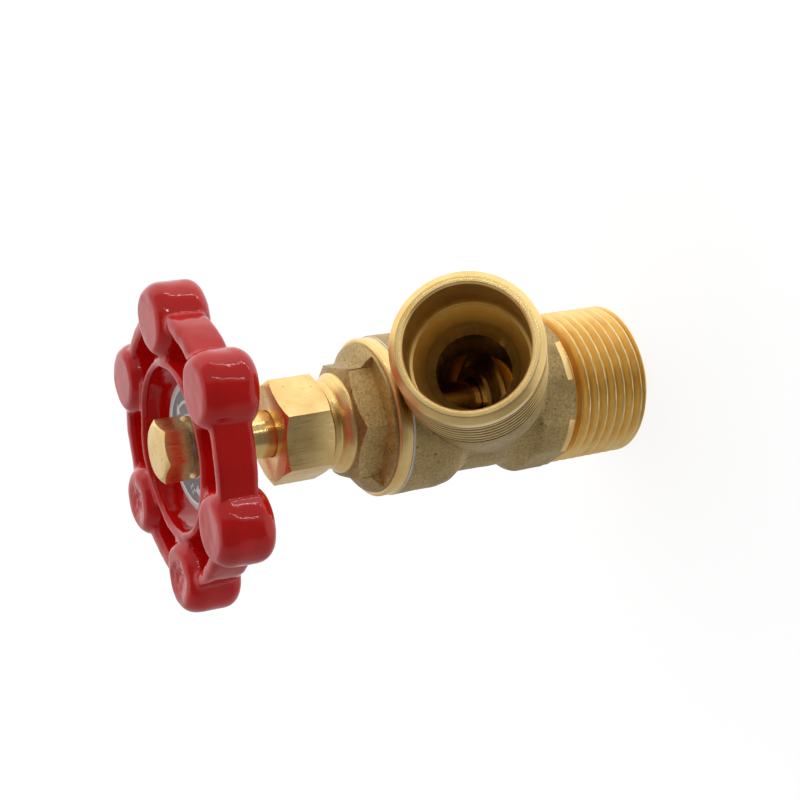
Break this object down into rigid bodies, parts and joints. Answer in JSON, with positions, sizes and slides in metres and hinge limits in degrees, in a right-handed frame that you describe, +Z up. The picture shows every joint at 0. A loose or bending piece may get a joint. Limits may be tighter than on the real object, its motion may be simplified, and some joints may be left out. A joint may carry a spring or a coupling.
{
  "type": "angle stop valve",
  "caption": "Small brass angle stop valve with a rising stem, a lobed red handwheel, a coarse male inlet in line with the stem and a male outlet that leans up from the side.",
  "frame": {"origin": "centre of the inlet's end face, which the part stands on", "axes": "+Z up the stem to the handwheel, the outlet leans up from -Y, +X completes the right-handed frame"},
  "size_m": [0.0502, 0.0649, 0.0862],
  "materials": {
    "cast_brass": "sand-cast, rough satin",
    "machined_brass": "turned, bright",
    "red_enamel": "gloss dipped enamel",
    "plate_aluminium": "satin",
    "white_ptfe": "matt",
    "seat_rubber": "matt",
    "spring_steel": "satin"
  },
  "bodies": {
    "valve": {"valve_body": "cast_brass", "bonnet": "cast_brass", "bonnet_gasket": "white_ptfe", "packing_washer": "machined_brass", "packing_ring_lower": "white_ptfe", "packing_ring_middle": "white_ptfe", "packing_ring_upper": "white_ptfe", "gland_follower": "machined_brass", "packing_nut": "machined_brass"},
    "disc": {"disc_holder": "machined_brass", "disc_clip": "spring_steel", "seat_disc": "seat_rubber", "disc_washer": "machined_brass", "disc_nut": "machined_brass"},
    "stem_and_wheel": {"stem": "machined_brass", "handwheel": "red_enamel", "id_plate": "plate_aluminium", "wheel_washer": "machined_brass", "spring_washer": "machined_brass", "handwheel_nut": "machined_brass"}
  },
  "joints": [
    {"name": "disc_lift", "type": "slide", "parent": "valve", "child": "disc", "axis": [0, 0, 1], "range_m": [-0.0035, 0.0035]},
    {"name": "handwheel_turn", "type": "hinge", "parent": "disc", "child": "stem_and_wheel", "pos_m": [0, 0, 0.0788], "axis": [0, 0, 1], "range_deg": [-630, 630]}
  ],
  "couplings": [
    {"joint": "disc_lift", "follows": "handwheel_turn", "m_per_rad": 0.000318}
  ]
}
